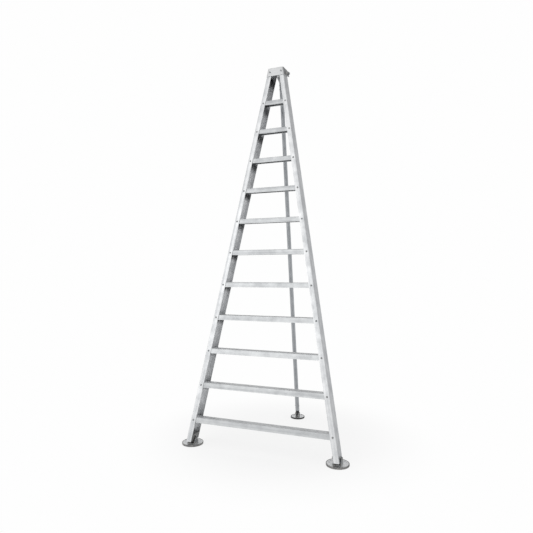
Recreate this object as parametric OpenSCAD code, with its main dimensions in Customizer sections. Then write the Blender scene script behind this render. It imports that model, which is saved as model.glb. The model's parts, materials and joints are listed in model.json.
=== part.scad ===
// Three-legged orchard ladder: two splayed channel stiles with riveted steps, a cast head
// over the stile tops, and one tubular rear leg that folds on a hinge bolt in the head.
// Millimetres, +Z up, front towards -Y. The origin is on the floor, in the middle of the footprint.

/* [Ladder] */
// Number of steps
step_count = 11; // [6:1:12]
// Distance from step to step along the stiles
step_pitch = 250; // [230:5:300]
// Underside of the lowest step, measured up the stiles
first_step = 165; // [150:5:220]
// Backward lean of the stiles
lean_angle = 7.4; // [5:0.1:10]
// Inward splay of each stile
splay_angle = 9.7; // [6:0.1:10.5]
// Clear width between the stiles at the top step
top_clear = 160; // [150:5:240]
// Stile length above the underside of the top step
head_rise = 325; // [300:5:340]

/* [Stiles] */
// Depth of the channel from front to back
stile_depth = 110; // [95:1:120]
// Width of the channel's flanges
stile_flange = 38; // [34:1:44]
// Wall of the channel
stile_wall = 2.6; // [2.4:0.1:3.5]
// Outer corner radius of the channel
stile_corner = 4; // [3.5:0.1:6]
// How far the stiles end below the foot pins
stile_end_drop = 16; // [10:1:17]

/* [Steps] */
// Depth of the step over its front and rear lips
step_depth = 54; // [44:1:85]
// Height of the step's front and rear lips
step_lip = 36; // [30:1:44]
// Wall of the step
step_wall = 2; // [1.8:0.1:3]
// Inward return at the foot of each lip
step_return = 10; // [7:1:14]
// Number of ribs on the tread
rib_count = 6; // [3:1:8]
// Height of a rib
rib_height = 1.8; // [1:0.1:3]
// Width of a rib at its root
rib_width = 5; // [3:0.5:6]

/* [Rivets] */
// Shank diameter of the step rivets
rivet_d = 8; // [6:0.5:9]
// Head diameter of the step rivets
rivet_head_d = 14; // [12:0.5:16]
// Head height of the step rivets
rivet_head = 3; // [2:0.5:4]
// Height of the closed end of a rivet
rivet_tail = 2.5; // [2:0.5:4]

/* [Head] */
// Wall of the cast head
head_wall = 5; // [4:0.5:7]
// Height of the head's front plate along the stiles
head_height = 68; // [62:1:90]
// Outer radius of the head's front corners
head_corner = 14; // [10:0.5:16]
// Rise of the head's top towards the back
cap_tilt = 8; // [0:0.5:12]
// Room between the rear faces of the stiles and the hinge barrel
hinge_back = 3; // [3:0.5:40]
// Hinge axis below the top of the head, and before the rear edges of the cheeks
hinge_drop = 25; // [23:0.5:32]
// Cut at the rear corners of the cheeks
cheek_corner = 7; // [3:0.5:12]
// How far back the cheeks keep their full height before they taper
cheek_run = 12; // [0:1:40]
// Diameter of the hinge bosses on the cheeks
boss_d = 36; // [30:1:44]
// How far a boss stands proud of its cheek
boss_proud = 1; // [0.5:0.5:3]
// How far a boss reaches in past its cheek
boss_reach = 4; // [2:0.5:6]
// Diameter of the bolts in the head's front plate
front_bolt_d = 8; // [6:1:10]
// Distance of those bolts below the stile tops
front_bolt_drop = 32; // [26:1:40]
// Diameter of the flanged bolts in the cheeks
cheek_bolt_d = 12; // [10:1:14]
// Distance of those bolts below the stile tops
cheek_bolt_drop = 22; // [20:1:30]

/* [Hinge] */
// Diameter of the hinge bolt
hinge_bolt_d = 12; // [10:1:14]
// Wall of the hinge bushes
bush_wall = 3; // [2:0.5:4]
// Length of a bush inside the barrel
bush_length = 22; // [15:1:30]
// Flange thickness of a bush
bush_flange = 2; // [1.5:0.5:3]
// Outer diameter of the barrel on the leg
barrel_d = 34; // [30:1:38]
// Thickness of the hinge washers
washer_t = 2.5; // [2:0.5:3]
// Width of the stop heel on the barrel
heel_w = 60; // [30:1:70]
// Distance from the barrel's front to the head's rear edge, where the heel stops
heel_gap = 2; // [1:0.5:4]

/* [Leg] */
// Lean of the rear leg at its open stop
leg_angle = 8.2; // [5:0.1:10]
// Outer diameter of the leg tube
leg_d = 34; // [30:0.5:40]
// Wall of the leg tube
leg_wall = 2; // [1.5:0.1:3]
// Hinge axis to the top of the leg tube
leg_start = 66; // [60:1:90]
// Length of the spigot and the plug inside the tube
spigot_length = 80; // [60:1:120]
// Foot pin to the lower end of the leg tube
leg_end = 28; // [24:1:50]
// Thickness of the web in the leg's head
web_t = 8; // [6:0.5:12]
// Shank diameter of the pins across the tube and of the plug and foot rivets
cross_pin_d = 6; // [5:0.5:7]
// Head diameter of those pins and rivets
pin_head_d = 10; // [9:0.5:12]
// Head height of those pins and rivets
pin_head_h = 2; // [1.5:0.5:3]

/* [Feet] */
// Diameter of the front feet
front_foot_d = 156; // [140:1:180]
// Diameter of the rear foot
rear_foot_d = 120; // [108:1:145]
// Thickness of the rubber soles
sole_t = 6; // [5:0.5:10]
// Width of the rubber rim round a foot plate
sole_rim = 4; // [3:0.5:6]
// Rim height above the plate's edge
rim_up = 1.5; // [0.5:0.5:4]
// Thickness of the foot plates
plate_t = 3; // [2:0.5:4]
// Rise of a foot plate from its flat middle to its edge
dish_rise = 3; // [1:0.5:6]
// Width of the raised edge band and its slope
dish_band = 18; // [14:1:20]
// Height of the front feet's pivot pins
front_pin_z = 44; // [42:1:60]
// Height of the rear foot's pivot pin
rear_pin_z = 36; // [34:1:55]
// Diameter of the foot pivot bolts
foot_bolt_d = 10; // [8:1:12]
// Wall of the yokes
yoke_wall = 4; // [3:0.5:5]
// Ring of yoke round its pivot bolt
yoke_eye = 9; // [7:0.5:12]
// Half length of a yoke's foot along the ladder's depth
yoke_foot = 34; // [30:1:42]
// Thickness of the tongue on the leg plug
tongue_t = 18; // [14:1:22]
// Height of the foot plug inside each stile
block_height = 46; // [40:1:100]

/* [Clearances] */
// Radial gap of a turning fit
running_gap = 0.05; // [0.02:0.01:0.1]
// Side gap between pieces that slide on each other
slide_gap = 0.3; // [0.2:0.05:0.5]
// Gap between pieces that seat on each other
seat_gap = 0.2; // [0.1:0.05:0.3]
// Room round a fastener in its hole
hole_gap = 0.1; // [0.05:0.05:0.3]
// Room between the stile ends and the yokes
yoke_room = 1.5; // [1:0.1:3]
// Room under a foot plug for the yoke's swing
swing_room = 2; // [1.5:0.5:4]

/* [Hidden] */
$fn = 48;
// Overshoot of cutting shapes
over = 1;

// How far a straight side runs inside the round end that it meets
tuck = 0.4;

// Sizes of standard hexagon fasteners, as multiples of the thread
hex_across = 1.6;
hex_head = 0.65;
hex_nut = 0.85;
washer_across = 2;
flange_across = 2.5;
flange_height = 0.2;
// Shares of a nut's height and width where its corners are turned off
nut_flats = 0.75;
nut_collar = 0.86;

// Shape of rivets: crown and shoulder as shares of a head, spread of the closed end over the shank
crown = 0.55;
shoulder = 0.9;
tail_spread = 1.45;

// Places of rivets, pins and sole grooves, as shares of what carries them
plug_rivet_shares = [0.3, 0.7];
plug_rivet_rise = 0.65;
upper_pin_shares = [0.3, 0.75];
lower_pin_share = 0.5;
groove_shares = [0.85, 0.65, 0.45];

// Corners of a tread rib, as shares of its width and height
rib_corners = [[-0.5, 0], [-0.25, 1], [0.25, 1], [0.5, 0]];

// Heights along the stiles
top_step_s = first_step + (step_count - 1) * step_pitch;
stile_top_s = top_step_s + head_rise;
function step_s(i) = first_step + (i - 1) * step_pitch;

// Half width over the stiles at a height s
flange_span = stile_flange / cos(splay_angle);
wall_span = stile_wall / cos(splay_angle);
inner_corner = stile_corner - stile_wall;
outer_at_floor = top_clear / 2 + flange_span + top_step_s * tan(splay_angle);
function outer_x(s) = outer_at_floor - s * tan(splay_angle);

// Height s of the point at depth n and true height z
function s_at(n, z) = (z + n * sin(lean_angle)) / cos(lean_angle);

// Head: its top rises to the back from over the front corners of the stiles
stile_top_z = stile_top_s * cos(lean_angle);
stile_top_run = stile_top_s * sin(lean_angle);
cap_z = stile_top_z + seat_gap + head_wall / cos(cap_tilt);
head_low_s = stile_top_s - head_height;
// True height that lies a distance below the head's top, at a run back from the foot of the front plane
function below_cap(run, distance) =
    cap_z + (run - stile_top_run) * tan(cap_tilt) - distance / cos(cap_tilt);

// Hinge: where the line behind the stiles meets the line below the head's top
hinge_n = stile_depth + hinge_back + barrel_d / 2;
hinge_s = (below_cap(hinge_n * cos(lean_angle), hinge_drop) + hinge_n * sin(lean_angle))
    / (cos(lean_angle) - tan(cap_tilt) * sin(lean_angle));
hinge_z = hinge_s * cos(lean_angle) - hinge_n * sin(lean_angle);
stop_n = stile_depth + hinge_back - heel_gap;
boss_out = outer_x(hinge_s - boss_d / 2) + (head_wall + seat_gap) / cos(splay_angle) + boss_proud;
boss_in = outer_x(hinge_s + boss_d / 2) - boss_reach;
barrel_half = boss_in - slide_gap - bush_flange;
bush_d = hinge_bolt_d + 2 * running_gap + 2 * bush_wall;

// Footprint, measured from the line where the stiles' front plane meets the floor
front_pin_run = s_at(stile_depth / 2, front_pin_z) * sin(lean_angle) + stile_depth / 2 * cos(lean_angle);
hinge_run = hinge_s * sin(lean_angle) + hinge_n * cos(lean_angle);
leg_length = (hinge_z - rear_pin_z) / cos(leg_angle);
rear_pin_run = hinge_run + leg_length * sin(leg_angle);
footprint = front_foot_d / 2 + rear_pin_run - front_pin_run + rear_foot_d / 2;
front_pin_y = (front_foot_d - footprint) / 2;
rear_pin_y = (footprint - rear_foot_d) / 2;
plane_y = front_pin_y - front_pin_run;
hinge_y = plane_y + hinge_run;

// Steps behind the front flanges
step_front = stile_wall + seat_gap;
step_rear = step_front + step_depth;
step_slope = tan(lean_angle);
rear_lift = step_depth * step_slope;

// Feet
plate_top = sole_t + plate_t;
yoke_top = plate_top + yoke_wall;
stile_end_z = front_pin_z - stile_end_drop;
eye_r = foot_bolt_d / 2 + yoke_eye;
stile_outer_low = outer_x(stile_end_z / cos(lean_angle));
stile_inner_high = outer_x(s_at(stile_depth, front_pin_z + eye_r)) - flange_span;
front_foot_x = (stile_outer_low + stile_inner_high) / 2;
front_gap_half = (stile_outer_low - stile_inner_high) / 2 + yoke_room;
rear_gap_half = tongue_t / 2 + slide_gap;
block_half = front_gap_half - slide_gap;
block_r = front_pin_z - yoke_top - swing_room;
tongue_r = leg_d / 2 - leg_wall;

// Names of the steps and of each foot's pieces
two_digits = function (i) str(i < 10 ? "0" : "", i);
step_names = [for (i = [1:step_count]) str("step_", two_digits(i))];
foot_pieces = ["sole", "plate", "yoke", "rivets", "bolt", "nut"];
foot_names = [for (foot = ["left", "right", "rear"], piece = foot_pieces) str(foot, "_foot_", piece)];

// Polygon whose corners have their own radii as true arcs; the corners turn left and bulge outwards
function unit(v) = v / norm(v);
function half_turn(a, b, c) = acos(unit(a - b) * unit(c - b)) / 2;
function cut_corner(a, b, c, r) =
    r == 0 ? [b] : [for (end = [a, c]) b + unit(end - b) * r / tan(half_turn(a, b, c))];
function corner_centre(a, b, c, r) =
    b + unit(unit(a - b) + unit(c - b)) * r / sin(half_turn(a, b, c));

module soft_polygon(points, radii) {
    count = len(points);
    before = [for (i = [0:count - 1]) points[(i + count - 1) % count]];
    after = [for (i = [0:count - 1]) points[(i + 1) % count]];
    polygon([for (i = [0:count - 1]) each cut_corner(before[i], points[i], after[i], radii[i])]);
    for (i = [0:count - 1])
        if (radii[i] > 0)
            translate(corner_centre(before[i], points[i], after[i], radii[i]))
                circle(r = radii[i]);
}

// Frames: the leaning plane of the stiles, one stile's own axes, the leg, and a side of the ladder
module incline() {
    translate([0, plane_y, 0])
        rotate([-lean_angle, 0, 0])
            children();
}

module stile_axes() {
    translate([outer_at_floor, 0, 0])
        rotate([0, -splay_angle, 0])
            children();
}

module leg_axes() {
    translate([0, hinge_y, hinge_z])
        rotate([leg_angle, 0, 0])
            children();
}

module on_side(side) {
    mirror([side == "left" ? 1 : 0, 0, 0])
        children();
}

module both_sides() {
    for (side = ["left", "right"])
        on_side(side)
            children();
}

// Level layer of the whole space
module slab(low, high) {
    reach = 2 * stile_top_s;
    translate([-reach / 2, -reach / 2, low])
        cube([reach, reach, high - low]);
}

// Cylinder along X, centred
module cross_bar(d, length) {
    rotate([0, 90, 0])
        cylinder(d = d, h = length, center = true);
}

// Outline in the YZ plane, made thick along X, centred
module cross_plate(thickness) {
    rotate([90, 0, 90])
        translate([0, 0, -thickness / 2])
            linear_extrude(thickness)
                children();
}

// Half section of a low round rivet head of radius r and height h, from its crown to its seat
function head_points(r, h) = [[0, -h], [crown * r, -h], [shoulder * r, -crown * h], [r, 0]];

// Fasteners along +Z, with the seat of the head at zero
module rivet(d, head_d, head_h, grip, tail_h) {
    r = d / 2;
    tail_r = r * tail_spread;
    rotate_extrude()
        polygon(concat(
            head_points(head_d / 2, head_h),
            [[r, 0], [r, grip], [tail_r, grip], [tail_r * shoulder, grip + tail_h * crown]],
            [[tail_r * crown, grip + tail_h], [0, grip + tail_h]]
        ));
}

module headed_pin(d, head_d, head_h, length) {
    rotate_extrude()
        polygon(concat(
            head_points(head_d / 2, head_h),
            [[d / 2, 0], [d / 2, length], [0, length]]
        ));
}

module hex_bolt(d, length) {
    translate([0, 0, -hex_head * d])
        cylinder(d = hex_across * d / cos(30), h = hex_head * d, $fn = 6);
    cylinder(d = d, h = length);
}

module flange_bolt(d, length) {
    hex_bolt(d, length);
    translate([0, 0, -flange_height * d])
        cylinder(d = flange_across * d, h = flange_height * d);
}

module hex_nut(d) {
    difference() {
        union() {
            cylinder(d = hex_across * d / cos(30), h = hex_nut * d * nut_flats, $fn = 6);
            cylinder(d = hex_across * d * nut_collar, h = hex_nut * d);
        }
        translate([0, 0, -over])
            cylinder(d = d + 2 * hole_gap, h = hex_nut * d + 2 * over);
    }
}

// Place of a step's rivet on the right stile, with +Z going in through the front flange
module at_step_rivet(i) {
    middle_s = step_s(i) + step_lip / 2;
    translate([outer_x(middle_s) - flange_span / 2, 0, middle_s])
        rotate([-90, 0, 0])
            children();
}

// Places of the head's bolts on the right stile, each with +Z going in
module at_front_bolt() {
    front_s = stile_top_s - front_bolt_drop;
    translate([outer_x(front_s) - flange_span / 2, -head_wall - seat_gap, front_s])
        rotate([-90, 0, 0])
            children();
}

module at_cheek_bolt() {
    cheek_s = stile_top_s - cheek_bolt_drop;
    stile_axes()
        translate([head_wall + seat_gap, stile_depth / 2, cheek_s / cos(splay_angle)])
            rotate([0, -90, 0])
                children();
}

module head_bolt_holes() {
    at_front_bolt()
        fastener_hole(front_bolt_d, head_grip);
    at_cheek_bolt()
        fastener_hole(cheek_bolt_d, head_grip);
}

// Places of the stile plug's rivets, each with +Z going in through the web
module at_plug_rivets() {
    low = stile_end_z / cos(splay_angle) + block_height * plug_rivet_rise;
    for (share = plug_rivet_shares)
        stile_axes()
            translate([0, stile_depth * share, low])
                rotate([0, -90, 0])
                    children();
}

head_grip = head_wall + seat_gap + stile_wall;
step_grip = stile_wall + seat_gap + step_wall;
plug_grip = stile_wall + stile_flange / 2;

module fastener_hole(d, depth) {
    translate([0, 0, -over])
        cylinder(d = d + 2 * hole_gap, h = depth + 2 * over);
}

// Stiles

module channel_profile() {
    difference() {
        soft_polygon(
            [[-stile_flange, 0], [0, 0], [0, stile_depth], [-stile_flange, stile_depth]],
            [0, stile_corner, stile_corner, 0]
        );
        soft_polygon(
            [
                [-stile_flange - over, stile_wall], [-stile_wall, stile_wall],
                [-stile_wall, stile_depth - stile_wall], [-stile_flange - over, stile_depth - stile_wall]
            ],
            [0, inner_corner, inner_corner, 0]
        );
    }
}

module stile(side) {
    color("gainsboro")
        on_side(side)
            difference() {
                intersection() {
                    incline()
                        stile_axes()
                            linear_extrude(stile_top_s / cos(splay_angle) + stile_depth)
                                channel_profile();
                    slab(stile_end_z, stile_top_z);
                }
                incline() {
                    for (i = [1:step_count])
                        at_step_rivet(i)
                            fastener_hole(rivet_d, stile_wall);
                    head_bolt_holes();
                    at_plug_rivets()
                        fastener_hole(cross_pin_d, stile_wall);
                }
                translate([front_foot_x, front_pin_y, front_pin_z])
                    cross_bar(foot_bolt_d + 2 * yoke_room, 3 * block_half);
            }
}

// Steps

// Point at depth n and height h over the step's underside, on a profile that is level when the ladder stands
function level(n, h) = [n, h + (n - step_front) * step_slope];

module step_profile() {
    rib_pitch = step_depth / rib_count;
    ribs = [
        for (i = [0:rib_count - 1], corner = rib_corners)
            level(
                step_front + (i + 0.5) * rib_pitch + corner[0] * rib_width,
                step_lip + corner[1] * rib_height
            )
    ];
    front = step_front;
    rear = step_rear;
    wall = step_wall;
    polygon(concat(
        [level(front, 0), level(front, step_lip)],
        ribs,
        [level(rear, step_lip), level(rear, 0), level(rear - step_return, 0)],
        [level(rear - step_return, wall), level(rear - wall, wall)],
        [level(rear - wall, step_lip - wall), level(front + wall, step_lip - wall)],
        [level(front + wall, wall), level(front + step_return, wall), level(front + step_return, 0)]
    ));
}

module step(i) {
    low = -over;
    high = step_lip + rib_height + rear_lift + over;
    function end_x(h) = outer_x(step_s(i) + h) - wall_span - inner_corner;
    color("silver")
        incline()
            difference() {
                translate([0, 0, step_s(i)])
                    intersection() {
                        rotate([90, 0, 90])
                            translate([0, 0, -end_x(low)])
                                linear_extrude(2 * end_x(low))
                                    step_profile();
                        translate([0, stile_depth, 0])
                            rotate([90, 0, 0])
                                linear_extrude(stile_depth)
                                    polygon([
                                        [-end_x(low), low], [end_x(low), low],
                                        [end_x(high), high], [-end_x(high), high]
                                    ]);
                    }
                both_sides()
                    at_step_rivet(i)
                        fastener_hole(rivet_d, step_grip);
            }
}

module step_rivets(side) {
    color("darkgray")
        on_side(side)
            incline()
                for (i = [1:step_count])
                    at_step_rivet(i)
                        rivet(rivet_d, rivet_head_d, rivet_head, step_grip, rivet_tail);
}

// Head

// Space between the two stiles' outer faces, grown outwards at the front and the sides
module head_space(grow, corner) {
    wide = 3 * outer_x(head_low_s);
    deep = 2 * hinge_n;
    tall = 2 * (head_height + hinge_n);
    intersection_for(side = ["left", "right"])
        on_side(side)
            stile_axes()
                translate([0, 0, (head_low_s - head_height) / cos(splay_angle)])
                    linear_extrude(tall)
                        soft_polygon(
                            [[-wide, -grow], [grow, -grow], [grow, deep], [-wide, deep]],
                            [0, corner, 0, 0]
                        );
}

// Side view of the head: a top and a lower edge that rise to the back, and a rear end square to the top
module cheek_outline() {
    function side_point(n, s) = [
        plane_y + s * sin(lean_angle) + n * cos(lean_angle),
        s * cos(lean_angle) - n * sin(lean_angle)
    ];
    hinge = [hinge_y, hinge_z];
    back = hinge_drop * [cos(cap_tilt), sin(cap_tilt)];
    up = hinge_drop * [-sin(cap_tilt), cos(cap_tilt)];
    front_low = side_point(-hinge_n, head_low_s);
    front_top = [front_low[0], below_cap(front_low[0] - plane_y, 0)];
    taper = side_point(cheek_run, head_low_s);
    rear_low = hinge + back - up;
    rear_top = hinge + back + up;
    polygon([
        front_low,
        taper,
        each cut_corner(taper, rear_low, rear_top, cheek_corner),
        each cut_corner(rear_low, rear_top, front_top, cheek_corner),
        front_top
    ]);
}

// Side view of the room under the head's top plate
module cap_room() {
    ends = [stile_top_run - hinge_n, stile_top_run + 2 * hinge_n];
    polygon([
        [plane_y + ends[0], 0],
        [plane_y + ends[1], 0],
        [plane_y + ends[1], below_cap(ends[1], head_wall)],
        [plane_y + ends[0], below_cap(ends[0], head_wall)]
    ]);
}

module head() {
    inside_corner = stile_corner + seat_gap;
    color("whitesmoke")
        difference() {
            union() {
                difference() {
                    intersection() {
                        incline()
                            head_space(head_wall + seat_gap, head_corner);
                        cross_plate(3 * boss_out)
                            cheek_outline();
                    }
                    intersection() {
                        incline()
                            head_space(seat_gap, inside_corner);
                        cross_plate(3 * boss_out)
                            cap_room();
                    }
                    intersection() {
                        incline()
                            head_space(seat_gap, inside_corner);
                        incline()
                            translate([-boss_out, stop_n, 0])
                                cube([2 * boss_out, 2 * hinge_n, 2 * stile_top_s]);
                    }
                }
                both_sides()
                    translate([(boss_in + boss_out) / 2, hinge_y, hinge_z])
                        cross_bar(boss_d, boss_out - boss_in);
            }
            translate([0, hinge_y, hinge_z])
                cross_bar(hinge_bolt_d + 2 * hole_gap, 2 * boss_out + 2 * over);
            both_sides()
                incline()
                    head_bolt_holes();
        }
}

module head_bolts() {
    color("dimgray")
        both_sides()
            incline() {
                at_front_bolt()
                    hex_bolt(front_bolt_d, head_grip + hex_nut * front_bolt_d);
                at_cheek_bolt()
                    flange_bolt(cheek_bolt_d, head_grip + hex_nut * cheek_bolt_d);
            }
}

module head_nuts() {
    color("gray")
        both_sides()
            incline() {
                at_front_bolt()
                    translate([0, 0, head_grip])
                        hex_nut(front_bolt_d);
                at_cheek_bolt()
                    translate([0, 0, head_grip])
                        hex_nut(cheek_bolt_d);
            }
}

// Hinge

module hinge_bolt() {
    seat = boss_out + washer_t;
    color("dimgray")
        translate([seat, hinge_y, hinge_z])
            rotate([0, -90, 0])
                hex_bolt(hinge_bolt_d, 2 * seat + hex_nut * hinge_bolt_d);
}

module hinge_nut() {
    color("gray")
        translate([-boss_out - washer_t, hinge_y, hinge_z])
            rotate([0, -90, 0])
                hex_nut(hinge_bolt_d);
}

module hinge_washers() {
    color("lightgray")
        both_sides()
            translate([boss_out + washer_t / 2, hinge_y, hinge_z])
                difference() {
                    cross_bar(washer_across * hinge_bolt_d, washer_t);
                    cross_bar(hinge_bolt_d + 2 * hole_gap, washer_t + 2 * over);
                }
}

module hinge_bushes() {
    inner_end = barrel_half - bush_length;
    color("black")
        leg_axes()
            both_sides()
                difference() {
                    union() {
                        translate([(inner_end + barrel_half) / 2, 0, 0])
                            cross_bar(bush_d, bush_length);
                        translate([barrel_half + bush_flange / 2, 0, 0])
                            cross_bar(bush_d + 2 * bush_wall, bush_flange);
                    }
                    cross_bar(hinge_bolt_d + 2 * running_gap, 3 * barrel_half);
                }
}

// Leg

spigot_d = leg_d - 2 * leg_wall - 2 * seat_gap;
tube_low = leg_length - leg_end;
// Distances down the leg from the hinge to the pins across the tube
upper_pins = [for (share = upper_pin_shares) leg_start + spigot_length * share];
lower_pins = [tube_low - spigot_length * lower_pin_share];

module at_cross_pins(drops) {
    for (drop = drops)
        translate([leg_d / 2, 0, -drop])
            rotate([0, -90, 0])
                children();
}

module leg_head() {
    collar_d = leg_d + 2 * leg_wall;
    heel_top = hinge_drop - heel_gap;
    web_half = barrel_half - web_t;
    color("whitesmoke")
        difference() {
            union() {
                leg_axes() {
                    cross_bar(barrel_d, 2 * barrel_half);
                    translate([0, web_t / 2, 0])
                        rotate([90, 0, 0])
                            linear_extrude(web_t)
                                polygon([
                                    [-web_half, 0], [web_half, 0],
                                    [collar_d / 2, -leg_start], [-collar_d / 2, -leg_start]
                                ]);
                    translate([0, 0, -leg_start])
                        cylinder(d = collar_d, h = leg_start - barrel_d / 2);
                    translate([0, 0, -leg_start - spigot_length])
                        cylinder(d = spigot_d, h = spigot_length);
                }
                incline()
                    translate([-heel_w / 2, stop_n + slide_gap, hinge_s])
                        cube([heel_w, barrel_d / 2 + heel_gap - slide_gap, heel_top]);
            }
            leg_axes() {
                cross_bar(bush_d + 2 * hole_gap, 3 * barrel_half);
                at_cross_pins(upper_pins)
                    fastener_hole(cross_pin_d, leg_d);
            }
        }
}

module leg_tube() {
    color("gainsboro")
        leg_axes()
            difference() {
                translate([0, 0, -tube_low])
                    cylinder(d = leg_d, h = tube_low - leg_start);
                translate([0, 0, -tube_low - over])
                    cylinder(d = leg_d - 2 * leg_wall, h = tube_low);
                at_cross_pins(concat(upper_pins, lower_pins))
                    fastener_hole(cross_pin_d, leg_d);
            }
}

module leg_cross_pins() {
    color("darkgray")
        leg_axes()
            at_cross_pins(concat(upper_pins, lower_pins))
                rivet(cross_pin_d, pin_head_d, pin_head_h, leg_d, rivet_tail);
}

// Nylon plug in the tube's lower end, with the tongue that the rear foot tilts on
module leg_plug() {
    collar = leg_end - eye_r - swing_room;
    color("black")
        leg_axes()
            translate([0, 0, -leg_length])
                difference() {
                    union() {
                        translate([0, 0, leg_end])
                            cylinder(d = spigot_d, h = spigot_length);
                        translate([0, 0, leg_end - collar])
                            cylinder(d1 = leg_d - 2 * leg_wall, d2 = leg_d, h = collar);
                        cross_bar(2 * tongue_r, tongue_t);
                        translate([-tongue_t / 2, tuck - tongue_r, 0])
                            cube([tongue_t, 2 * (tongue_r - tuck), leg_end - collar / 2]);
                    }
                    cross_bar(foot_bolt_d + 2 * running_gap, 2 * leg_d);
                    translate([0, 0, leg_length])
                        at_cross_pins(lower_pins)
                            fastener_hole(cross_pin_d, leg_d);
                }
}

// Nylon plug in a stile's lower end, round below about the foot's pivot bolt
module stile_plug(side) {
    top_z = stile_end_z + block_height;
    inset = stile_wall + seat_gap;
    color("black")
        on_side(side)
            difference() {
                union() {
                    intersection() {
                        translate([front_foot_x, front_pin_y, front_pin_z])
                            cross_bar(2 * block_r, 2 * block_half);
                        slab(0, stile_end_z - seat_gap);
                    }
                    intersection() {
                        incline()
                            stile_axes()
                                linear_extrude(2 * top_z)
                                    soft_polygon(
                                        [
                                            [-stile_flange, inset], [-inset, inset],
                                            [-inset, stile_depth - inset], [-stile_flange, stile_depth - inset]
                                        ],
                                        [0, inner_corner, inner_corner, 0]
                                    );
                        slab(stile_end_z - seat_gap, top_z);
                    }
                }
                translate([front_foot_x, front_pin_y, front_pin_z])
                    cross_bar(foot_bolt_d + 2 * running_gap, 3 * block_half);
                incline()
                    at_plug_rivets()
                        fastener_hole(cross_pin_d, plug_grip);
            }
}

module stile_plug_rivets() {
    color("darkgray")
        both_sides()
            incline()
                at_plug_rivets()
                    headed_pin(cross_pin_d, pin_head_d, pin_head_h, plug_grip);
}

// Feet, each drawn about its own centre on the floor

function foot_d(foot) = foot == "rear" ? rear_foot_d : front_foot_d;
function pin_z(foot) = foot == "rear" ? rear_pin_z : front_pin_z;
function gap_half(foot) = foot == "rear" ? rear_gap_half : front_gap_half;
function foot_reach(foot) = foot == "rear" ? yoke_foot * rear_foot_d / front_foot_d : yoke_foot;

module at_foot(foot) {
    if (foot == "rear")
        translate([0, rear_pin_y, 0])
            children();
    else
        on_side(foot)
            translate([front_foot_x, front_pin_y, 0])
                children();
}

// Radii of a foot plate: its flat middle, the top of its slope and its edge
function plate_r(foot) = foot_d(foot) / 2 - sole_rim - seat_gap;
function slope_r(foot) = foot_d(foot) / 2 - sole_rim - dish_band / 2;
function flat_r(foot) = foot_d(foot) / 2 - sole_rim - dish_band;

module foot_sole(foot) {
    r = foot_d(foot) / 2;
    rim_top = sole_t + dish_rise + plate_t + rim_up;
    groove = sole_t / 3;
    grooves = [for (share = groove_shares, edge = [[1, 0], [1, 1], [-1, 1], [-1, 0]])
        [r * share + edge[0] * groove, edge[1] * groove]];
    color("#3a3a3a")
        at_foot(foot)
            rotate_extrude()
                polygon(concat(
                    [[0, sole_t], [flat_r(foot), sole_t], [slope_r(foot), sole_t + dish_rise]],
                    [[r - sole_rim, sole_t + dish_rise], [r - sole_rim, rim_top]],
                    [[r - sole_rim / 4, rim_top], [r, rim_top - sole_rim / 2], [r, groove], [r - groove, 0]],
                    grooves,
                    [[0, 0]]
                ));
}

module foot_plate(foot) {
    lower = [[0, sole_t], [flat_r(foot), sole_t], [slope_r(foot), sole_t + dish_rise],
        [plate_r(foot), sole_t + dish_rise]];
    upper = [for (i = [len(lower) - 1:-1:0]) lower[i] + [0, plate_t]];
    color("silver")
        at_foot(foot)
            difference() {
                rotate_extrude()
                    polygon(concat(lower, upper));
                at_foot_rivets(foot)
                    fastener_hole(cross_pin_d, yoke_wall + plate_t);
            }
}

module foot_yoke(foot) {
    half = gap_half(foot) + yoke_wall;
    reach = foot_reach(foot);
    corner = yoke_wall;
    color("gray")
        at_foot(foot)
            difference() {
                union() {
                    translate([0, 0, plate_top])
                        linear_extrude(yoke_wall)
                            soft_polygon(
                                [[-half, -reach], [half, -reach], [half, reach], [-half, reach]],
                                [corner, corner, corner, corner]
                            );
                    for (turn = [-1, 1])
                        translate([turn * (half - yoke_wall / 2), 0, 0])
                            cross_plate(yoke_wall) {
                                ear_outline(foot);
                            }
                }
                translate([0, 0, pin_z(foot)])
                    cross_bar(foot_bolt_d + 2 * hole_gap, 3 * half);
                at_foot_rivets(foot)
                    fastener_hole(cross_pin_d, yoke_wall + plate_t);
            }
}

// Ear of a yoke: round about the pivot bolt, with sides that spread to the yoke's foot
module ear_outline(foot) {
    reach = foot_reach(foot) - yoke_wall;
    pin = [0, pin_z(foot)];
    base = [reach, plate_top + yoke_wall / 2];
    away = base - pin;
    inside_r = eye_r - tuck;
    touch = atan2(away[1], away[0]) + acos(inside_r / norm(away));
    side = pin + inside_r * [cos(touch), sin(touch)];
    polygon([
        [-base[0], plate_top], [base[0], plate_top], base, side, [-side[0], side[1]], [-base[0], base[1]]
    ]);
    translate(pin)
        circle(r = eye_r);
}

// Places of the rivets between yoke and plate, each with +Z going down
module at_foot_rivets(foot) {
    for (turn = [-1, 1])
        translate([0, turn * (foot_reach(foot) - (pin_head_d + yoke_wall) / 2), yoke_top])
            rotate([180, 0, 0])
                children();
}

module foot_rivets(foot) {
    color("darkgray")
        at_foot(foot)
            at_foot_rivets(foot)
                headed_pin(cross_pin_d, pin_head_d, pin_head_h, yoke_wall + plate_t);
}

module foot_bolt(foot) {
    half = gap_half(foot) + yoke_wall;
    color("dimgray")
        at_foot(foot)
            translate([half, 0, pin_z(foot)])
                rotate([0, -90, 0])
                    hex_bolt(foot_bolt_d, 2 * half + hex_nut * foot_bolt_d);
}

module foot_nut(foot) {
    half = gap_half(foot) + yoke_wall;
    color("dimgray")
        at_foot(foot)
            translate([-half, 0, pin_z(foot)])
                rotate([0, -90, 0])
                    hex_nut(foot_bolt_d);
}

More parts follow.
